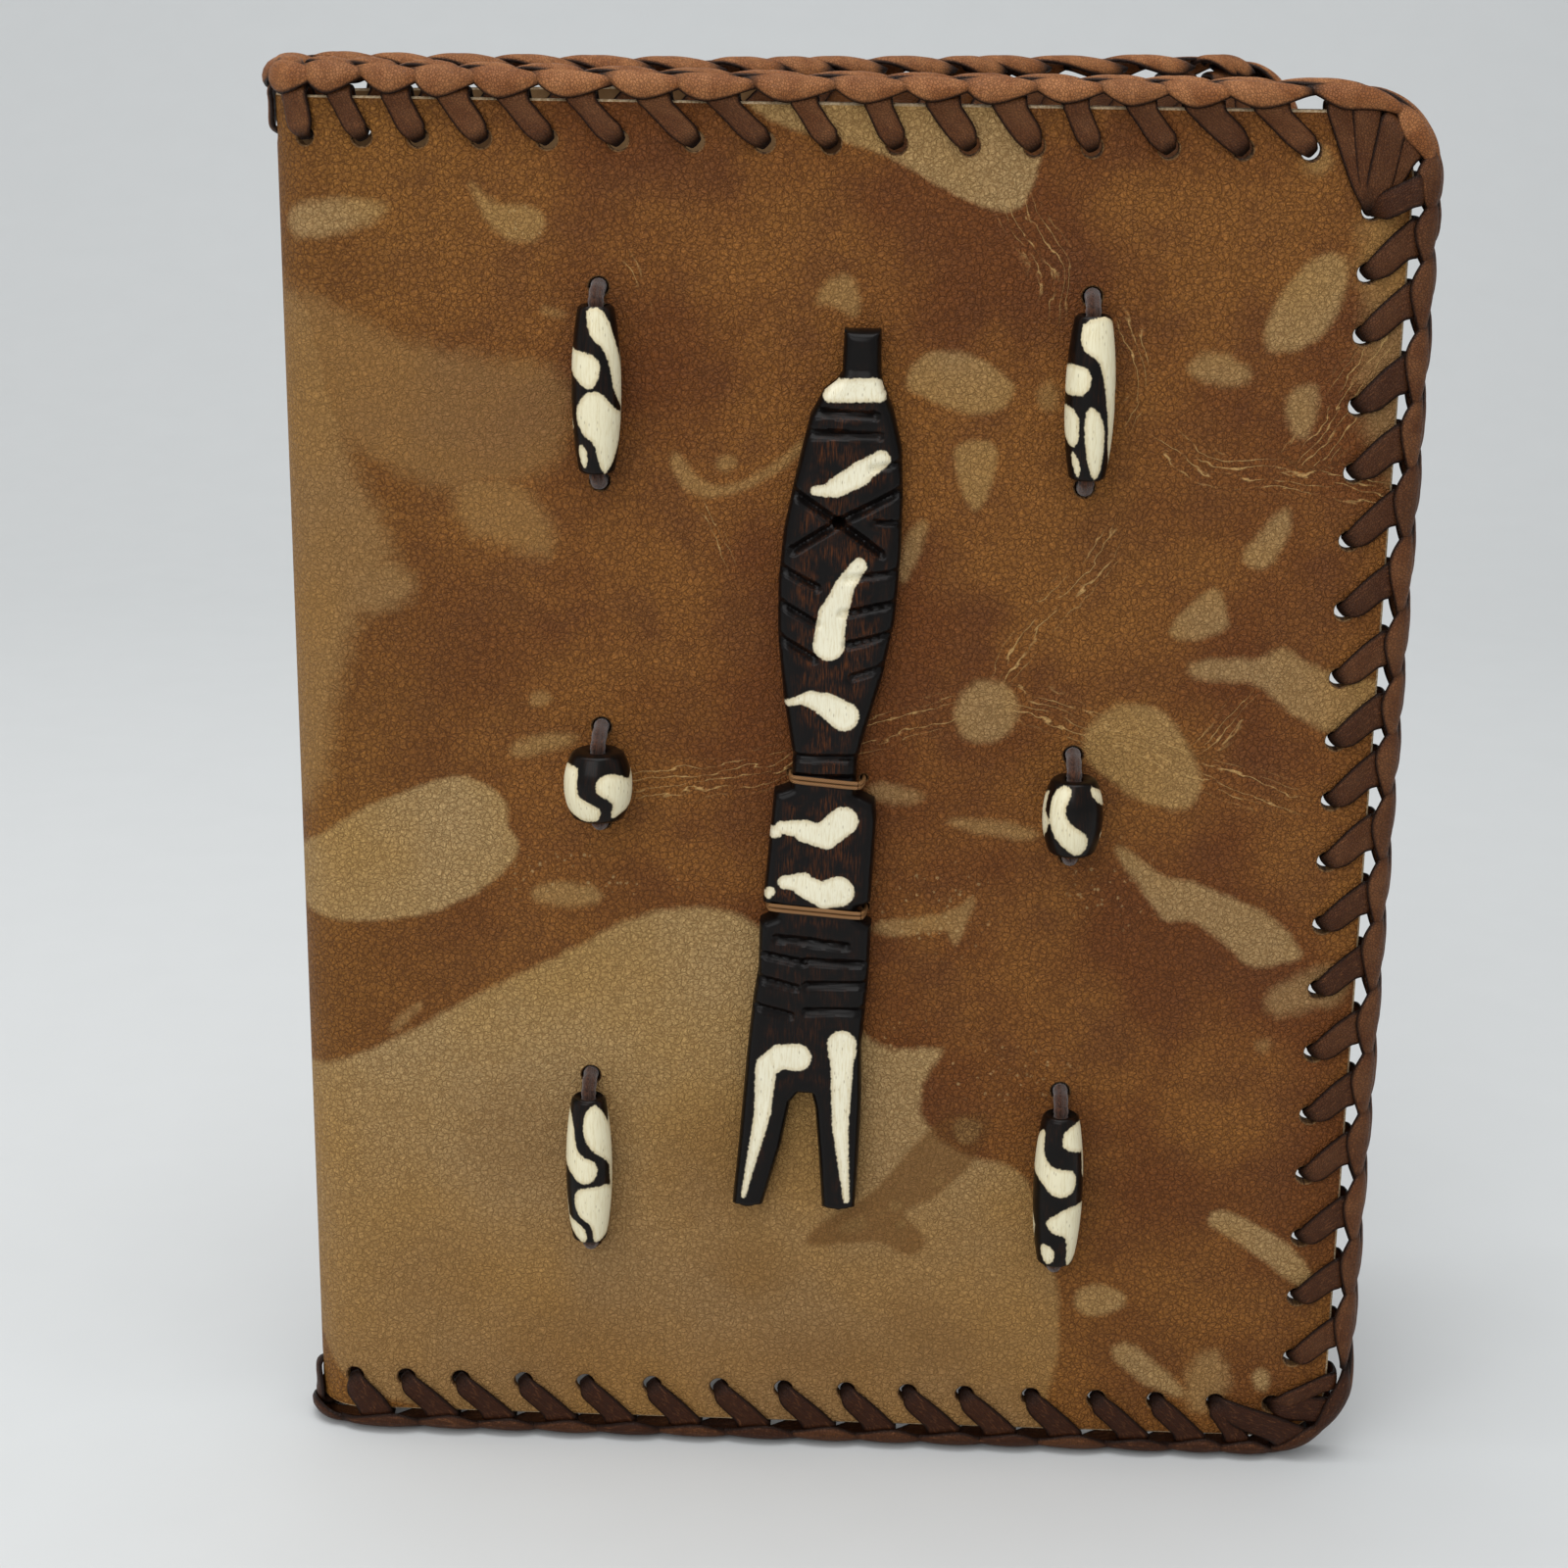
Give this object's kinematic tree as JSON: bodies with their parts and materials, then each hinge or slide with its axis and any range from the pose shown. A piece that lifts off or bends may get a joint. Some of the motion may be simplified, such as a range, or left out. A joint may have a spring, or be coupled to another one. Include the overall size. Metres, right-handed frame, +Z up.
{
  "type": "leather notebook cover",
  "caption": "Hand-laced leather cover for a notebook, with braided edges, inner pockets, bone beads on thongs and a carved figure tied to the front.",
  "frame": {"origin": "centre of the base, on the surface that the cover stands on", "axes": "+Z up along the covers' height, front cover facing -Y, spine towards -X, fore edges towards +X"},
  "size_m": [0.171, 0.0826, 0.2188],
  "materials": {
    "cover_leather": "pebble-grained goat leather, tie-dyed tan on reddish brown, soft sheen",
    "pocket_leather": "plain brown leather, matte",
    "lace_leather": "flat reddish-brown lace, fine grain, satin",
    "thong_leather": "dark brown suede",
    "bone_bead": "polished bone, cream with a dark resist pattern",
    "carved_bone": "carved bone dyed near black with cream marks, polished",
    "waxed_thread": "brown waxed thread"
  },
  "bodies": {
    "back": {"back_bottom_braid": "lace_leather", "back_bottom_stitches": "lace_leather", "back_cover": "cover_leather", "back_fore_edge_braid": "lace_leather", "back_fore_edge_stitches": "lace_leather", "back_pocket": "pocket_leather", "back_top_braid": "lace_leather", "back_top_stitches": "lace_leather"},
    "spine": {"spine_bottom_braid": "lace_leather", "spine_leather": "cover_leather", "spine_stitches": "lace_leather", "spine_top_braid": "lace_leather"},
    "front": {"carved_figure": "carved_bone", "front_bottom_braid": "lace_leather", "front_bottom_stitches": "lace_leather", "front_cover": "cover_leather", "front_fore_edge_braid": "lace_leather", "front_fore_edge_stitches": "lace_leather", "front_pocket": "pocket_leather", "front_top_braid": "lace_leather", "front_top_stitches": "lace_leather", "lower_figure_tie": "waxed_thread", "lower_left_thong": "thong_leather", "lower_right_thong": "thong_leather", "middle_left_thong": "thong_leather", "middle_right_thong": "thong_leather", "upper_figure_tie": "waxed_thread", "upper_left_thong": "thong_leather", "upper_right_thong": "thong_leather"},
    "upper_left_bead": {"upper_left_bead": "bone_bead"},
    "upper_right_bead": {"upper_right_bead": "bone_bead"},
    "middle_left_bead": {"middle_left_bead": "bone_bead"},
    "middle_right_bead": {"middle_right_bead": "bone_bead"},
    "lower_left_bead": {"lower_left_bead": "bone_bead"},
    "lower_right_bead": {"lower_right_bead": "bone_bead"}
  },
  "joints": [
    {"name": "back_fold", "type": "hinge", "parent": "back", "child": "spine", "pos_m": [-0.08265, -0.01856, 0.1094], "axis": [0, 0, 1], "range_deg": [-80, 10]},
    {"name": "front_fold", "type": "hinge", "parent": "spine", "child": "front", "pos_m": [-0.08087, -0.02869, 0.1094], "axis": [0, 0, 1], "range_deg": [-80, 10]},
    {"name": "upper_left_bead_spin", "type": "hinge", "parent": "front", "child": "upper_left_bead", "pos_m": [-0.03553, -0.03456, 0.1741], "axis": [0, 0, 1], "continuous": true},
    {"name": "upper_right_bead_spin", "type": "hinge", "parent": "front", "child": "upper_right_bead", "pos_m": [0.03667, -0.03456, 0.1742], "axis": [0, 0, 1], "continuous": true},
    {"name": "middle_left_bead_spin", "type": "hinge", "parent": "front", "child": "middle_left_bead", "pos_m": [-0.03553, -0.03611, 0.114], "axis": [0, 0, 1], "continuous": true},
    {"name": "middle_right_bead_spin", "type": "hinge", "parent": "front", "child": "middle_right_bead", "pos_m": [0.03667, -0.03551, 0.1106], "axis": [0, 0, 1], "continuous": true},
    {"name": "lower_left_bead_spin", "type": "hinge", "parent": "front", "child": "lower_left_bead", "pos_m": [-0.03753, -0.03456, 0.0498], "axis": [0, 0, 1], "continuous": true},
    {"name": "lower_right_bead_spin", "type": "hinge", "parent": "front", "child": "lower_right_bead", "pos_m": [0.03687, -0.03481, 0.0486], "axis": [0, 0, 1], "continuous": true}
  ]
}
